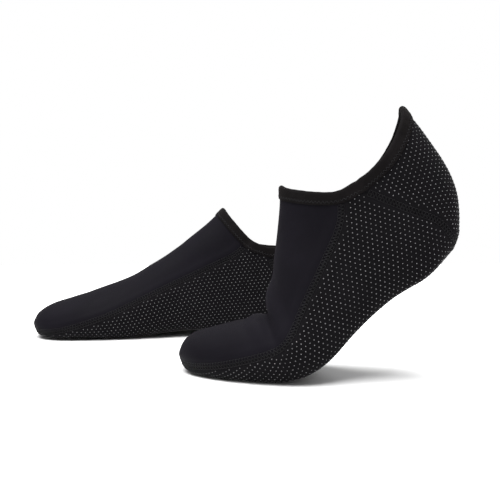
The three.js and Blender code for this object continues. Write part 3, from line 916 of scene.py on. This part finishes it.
def copies(name, shape, places):
    """One mesh of many copies of a shape. A place is an origin and the three axes it is scaled along."""
    points, faces = shape
    matrices = np.array([[axis[:] for axis in axes] for _, *axes in places])
    origins = np.array([origin[:] for origin, *_ in places])
    stacked = np.einsum("vk,nkc->nvc", points, matrices) + origins[:, None, :]
    count = len(points)
    all_faces = [tuple(i + n * count for i in face) for n in range(len(places)) for face in faces]
    mesh = bpy.data.meshes.new(name)
    mesh.from_pydata(stacked.reshape(-1, 3).tolist(), [], all_faces)
    mesh.shade_smooth()
    return new_piece(name, mesh)


def upright(normal):
    """Two directions square to a normal."""
    first = normal.orthogonal().normalized()
    return first, normal.cross(first)


class SOCKS_OT_grip_dots(bpy.types.Operator):
    """Prints staggered rows of rubber dots on the sole wraps and heel cups"""
    bl_idname = "socks.grip_dots"
    bl_label = "Grip dots"

    def execute(self, context):
        wanted = settings("sock_dots")
        material = finished("Grip dots", dot_finish, wanted.colour)
        shape = dome()
        for side in SIDES:
            for panel in ("wrap", "heel_cup"):
                places = self.rows(skins[side, panel], wanted)
                piece = copies(f"{side}_{panel}_dots", shape, places)
                settle(piece, side, material)
        return {"FINISHED"}

    @staticmethod
    def rows(skin, wanted):
        low, high = skin.uv.min(axis=0), skin.uv.max(axis=0)
        places = []
        for row in range(int((high[1] - low[1]) / wanted.rows) + 1):
            across = low[1] + row * wanted.rows
            shift = (row % 2) * wanted.across / 2
            for k in range(int((high[0] - low[0]) / wanted.across) + 1):
                found = skin.lift((low[0] + shift + k * wanted.across, across))
                if found is None:
                    continue
                point, normal = found
                if skin.near_rim(point) < wanted.margin:
                    continue
                size = wanted.radius * (1 + DOT_VARIETY * smooth_noise(point, 2 * MM, seed=8.0))
                one, two = upright(normal)
                places.append((point, one * size, two * size, normal * wanted.height))
        return places


def seam_path(side, first, second):
    """The line along the butted edges of two panels."""
    one, two = skins[side, first], skins[side, second]
    shared = {i for i in one.rim if two.near_rim(one.points[i]) < SEWN_SHAPED}
    start = next(i for i in one.rim if i in shared and any(j not in shared for j in one.beside[i]))
    chain, before = [start], None
    while True:
        ahead = [j for j in one.beside[chain[-1]] if j != before and j in shared]
        if not ahead or ahead[0] == start:
            break
        before = chain[-1]
        chain.append(ahead[0])
    points = []
    for i in chain:
        p = one.points[i]
        points.append((p + two.rim_tree.find(p)[0]) / 2)
    for _ in range(PATH_ROUNDS):
        points = [points[0]] + [(points[i - 1] + 2 * points[i] + points[i + 1]) / 4
                                for i in range(1, len(points) - 1)] + [points[-1]]
    return points


def evenly(points, spacing, clear):
    """Points spaced evenly along an open line, kept clear of both ends."""
    travelled = [0.0]
    for a, b in zip(points, points[1:]):
        travelled.append(travelled[-1] + (b - a).length)
    start, stop = clear, travelled[-1] - clear
    count = int((stop - start) / spacing)
    found, i = [], 0
    for k in range(count + 1):
        wanted = start + k * (stop - start) / count
        while travelled[i + 1] < wanted and i + 2 < len(points):
            i += 1
        share = (wanted - travelled[i]) / max(travelled[i + 1] - travelled[i], TINY)
        found.append(points[i].lerp(points[i + 1], share))
    return found


def stitch(start, end, normal, thread):
    """One stitch from point to point, standing on the cloth by its normal."""
    run = end - start
    side = normal.cross(run).normalized()
    return ((start + end) / 2, run / 2 * STITCH_OVERLAP, side * (thread / 2), normal * (thread / 2))


class SOCKS_OT_seams(bpy.types.Operator):
    """Sews the flatlock seams, outside and inside"""
    bl_idname = "socks.seams"
    bl_label = "Flatlock seams"

    def execute(self, context):
        wanted = settings("sock_stitches")
        tape = settings("sock_tape")
        sheet = settings("sock_panels").thickness
        material = finished("Thread", thread_finish, wanted.colour)
        shape = thread_loop()
        for side in SIDES:
            collar = collars[side]
            for seam, (first, second) in SEAMS.items():
                path = seam_path(side, first, second)
                path = evenly(path, wanted.pitch, tape.width + SEAM_CLEAR)
                for face, sign in FACES.items():
                    places = self.sew(collar, path, wanted, sheet, sign)
                    piece = copies(f"{side}_{seam}_{face}_stitches", shape, places)
                    settle(piece, side, material, [f"{side}_{seam}_{face}"])
        return {"FINISHED"}

    @staticmethod
    def sew(collar, path, wanted, sheet, sign):
        """Three needle rows along the seam, and a cover thread laced across them."""
        half = wanted.seam_width / 2
        lift = THREAD_LIFT * wanted.thread

        def on_cloth(p, aside):
            hit, normal = collar.nearest(p + aside)
            return (hit + normal * lift, normal) if sign > 0 else (hit - normal * (sheet + lift), -normal)

        rails = {-1: [], 0: [], 1: []}
        for i, p in enumerate(path):
            along = path[min(i + 1, len(path) - 1)] - path[max(i - 1, 0)]
            normal = collar.nearest(p)[1]
            aside = normal.cross(along).normalized()
            for rail in rails:
                rails[rail].append(on_cloth(p, aside * (rail * half)))
        places = []
        for rail, line in rails.items():
            rise = (SIDE_ROW_LIFT if rail else MIDDLE_ROW_LIFT) * wanted.thread
            for (a, n), (b, _) in zip(line, line[1:]):
                first, last = (a.lerp(b, share) + n * rise for share in (NEEDLE_GAP, 1 - NEEDLE_GAP))
                places.append(stitch(first, last, n, wanted.thread))
        for (a, n), (b, _), (c, _) in zip(rails[-1], rails[1], rails[-1][1:]):
            places.append(stitch(a, b, n, wanted.thread))
            places.append(stitch(b, c, n, wanted.thread * LACING_THREAD))
        return places


class SOCKS_OT_collar_stitches(bpy.types.Operator):
    """Sews the zigzag that holds the collar tape, outside and inside"""
    bl_idname = "socks.collar_stitches"
    bl_label = "Collar stitches"

    def execute(self, context):
        wanted = settings("sock_stitches")
        material = finished("Thread", thread_finish, wanted.colour)
        shape = thread_loop()
        for side in SIDES:
            for face, sign in FACES.items():
                piece = copies(f"{side}_collar_{face}_stitches", shape, self.zigzag(collars[side], sign))
                settle(piece, side, material, [f"{side}_collar_stitch_{face}"])
        return {"FINISHED"}

    @staticmethod
    def zigzag(collar, sign):
        wanted = settings("sock_stitches")
        tape = settings("sock_tape")
        sheet = settings("sock_panels").thickness
        bottom = tape.width - wanted.zigzag_inset
        top = bottom - wanted.zigzag_width
        count = len(collar.points)
        turns = 2 * round(count * tape.station / wanted.zigzag_pitch)
        raised = tape.gap + tape.thickness + ZIGZAG_LIFT * wanted.thread
        corners = []
        for k in range(turns):
            p, n = collar.reach(count * k / turns, bottom if k % 2 else top)
            corners.append((p + n * raised, n) if sign > 0 else (p - n * (sheet + raised), -n))
        return [stitch(p, corners[(k + 1) % turns][0], n, wanted.thread) for k, (p, n) in enumerate(corners)]


# ---------------------------------------------------------------- stage

FLOOR_DROP = 0.6 * MM  # keeps the floor clear of the soles
WHITE = (1.0, 1.0, 1.0, 1.0)
KEY_PLACE, KEY_SIZE = (-0.35, -0.2, 1.9), (2.4, 2.0)
BACK_PLACE, BACK_SIZE, BACK_SHARE = (0.7, 0.9, 1.0), (0.8, 0.6), 0.05
# The camera's target: off the pair's centre to the right and to the front, and at a share of its height.
AIM_RIGHT, AIM_FORWARD, AIM_UP = 26.0 * MM, 3.5 * MM, 0.435


def soft_light(name, place, target, size, power):
    lamp = bpy.data.lights.new(name, "AREA")
    lamp.shape = "RECTANGLE"
    lamp.size, lamp.size_y = size
    lamp.energy = power
    light = bpy.data.objects.new(name, lamp)
    light.location = place
    light.rotation_euler = (target - Vector(place)).to_track_quat("-Z", "Y").to_euler()
    bpy.context.scene.collection.objects.link(light)


class SOCKS_OT_stage(bpy.types.Operator):
    """Sets the pale floor, the soft lights and the camera"""
    bl_idname = "socks.stage"
    bl_label = "Stage"

    def execute(self, context):
        wanted = settings("sock_stage")
        low, high = CAD_BOX
        centre = (low + high) / 2
        deselect()
        bpy.ops.mesh.primitive_plane_add(size=wanted.floor_size, location=(0, 0, -FLOOR_DROP))
        floor = context.object
        floor.name = "floor"
        bpy.ops.object.transform_apply(location=True, rotation=True, scale=True)
        floor.data.materials.append(finished("Floor", floor_finish, wanted.floor_colour))
        world = bpy.data.worlds.new("Pale surroundings")
        world.use_nodes = True
        nodes, links = world.node_tree.nodes, world.node_tree.links
        lit = nodes["Background"]
        lit.inputs["Color"].default_value = WHITE
        lit.inputs["Strength"].default_value = wanted.sky
        seen = nodes.new("ShaderNodeBackground")
        seen.inputs["Color"].default_value = WHITE
        either = nodes.new("ShaderNodeMixShader")
        links.new(nodes.new("ShaderNodeLightPath").outputs["Is Camera Ray"], either.inputs["Fac"])
        links.new(lit.outputs["Background"], either.inputs[1])
        links.new(seen.outputs["Background"], either.inputs[2])
        links.new(either.outputs["Shader"], nodes["World Output"].inputs["Surface"])
        context.scene.world = world
        soft_light("Key", KEY_PLACE, centre, KEY_SIZE, wanted.key_power)
        soft_light("Back", BACK_PLACE, centre, BACK_SIZE, BACK_SHARE * wanted.key_power)
        context.scene.view_settings.view_transform = "Standard"

        aim = Vector((centre.x + AIM_RIGHT, centre.y - AIM_FORWARD, low.z + AIM_UP * (high.z - low.z)))
        back = Vector((math.sin(wanted.azimuth) * math.cos(wanted.elevation),
                       -math.cos(wanted.azimuth) * math.cos(wanted.elevation),
                       math.sin(wanted.elevation)))
        lens = bpy.data.cameras.new("Camera")
        lens.angle = wanted.field
        camera = bpy.data.objects.new("Camera", lens)
        camera.location = aim + back * wanted.distance
        level = (-back).to_track_quat("-Z", "Y")
        camera.rotation_euler = (level @ Quaternion((0, 0, 1), wanted.roll)).to_euler()
        context.scene.collection.objects.link(camera)
        context.scene.camera = camera
        return {"FINISHED"}


class SOCKS_PT_panel(bpy.types.Panel):
    """Lists the steps that make the socks, with their settings"""
    bl_idname = "SOCKS_PT_panel"
    bl_label = "Water Socks"
    bl_space_type = "VIEW_3D"
    bl_region_type = "UI"
    bl_category = "Socks"

    def draw(self, context):
        for operator in OPERATORS:
            self.layout.operator(operator.bl_idname)
        for name, group in SETTINGS.items():
            box = self.layout.box()
            for key in group.__annotations__:
                box.prop(getattr(context.scene, name), key)


OPERATORS = [
    SOCKS_OT_stage, SOCKS_OT_panels, SOCKS_OT_collar_tape, SOCKS_OT_grip_dots, SOCKS_OT_seams,
    SOCKS_OT_collar_stitches,
]


def register():
    for group in SETTINGS.values():
        bpy.utils.register_class(group)
    for operator in OPERATORS:
        bpy.utils.register_class(operator)
    bpy.utils.register_class(SOCKS_PT_panel)
    for name, group in SETTINGS.items():
        setattr(bpy.types.Scene, name, bpy.props.PointerProperty(type=group))


def unregister():
    for name in SETTINGS:
        delattr(bpy.types.Scene, name)
    bpy.utils.unregister_class(SOCKS_PT_panel)
    for operator in reversed(OPERATORS):
        bpy.utils.unregister_class(operator)
    for group in reversed(list(SETTINGS.values())):
        bpy.utils.unregister_class(group)


def main():
    register()
    bpy.ops.socks.stage()
    bpy.ops.socks.panels()
    bpy.ops.socks.collar_tape()
    bpy.ops.socks.grip_dots()
    bpy.ops.socks.seams()
    bpy.ops.socks.collar_stitches()


if __name__ == "__main__":
    main()
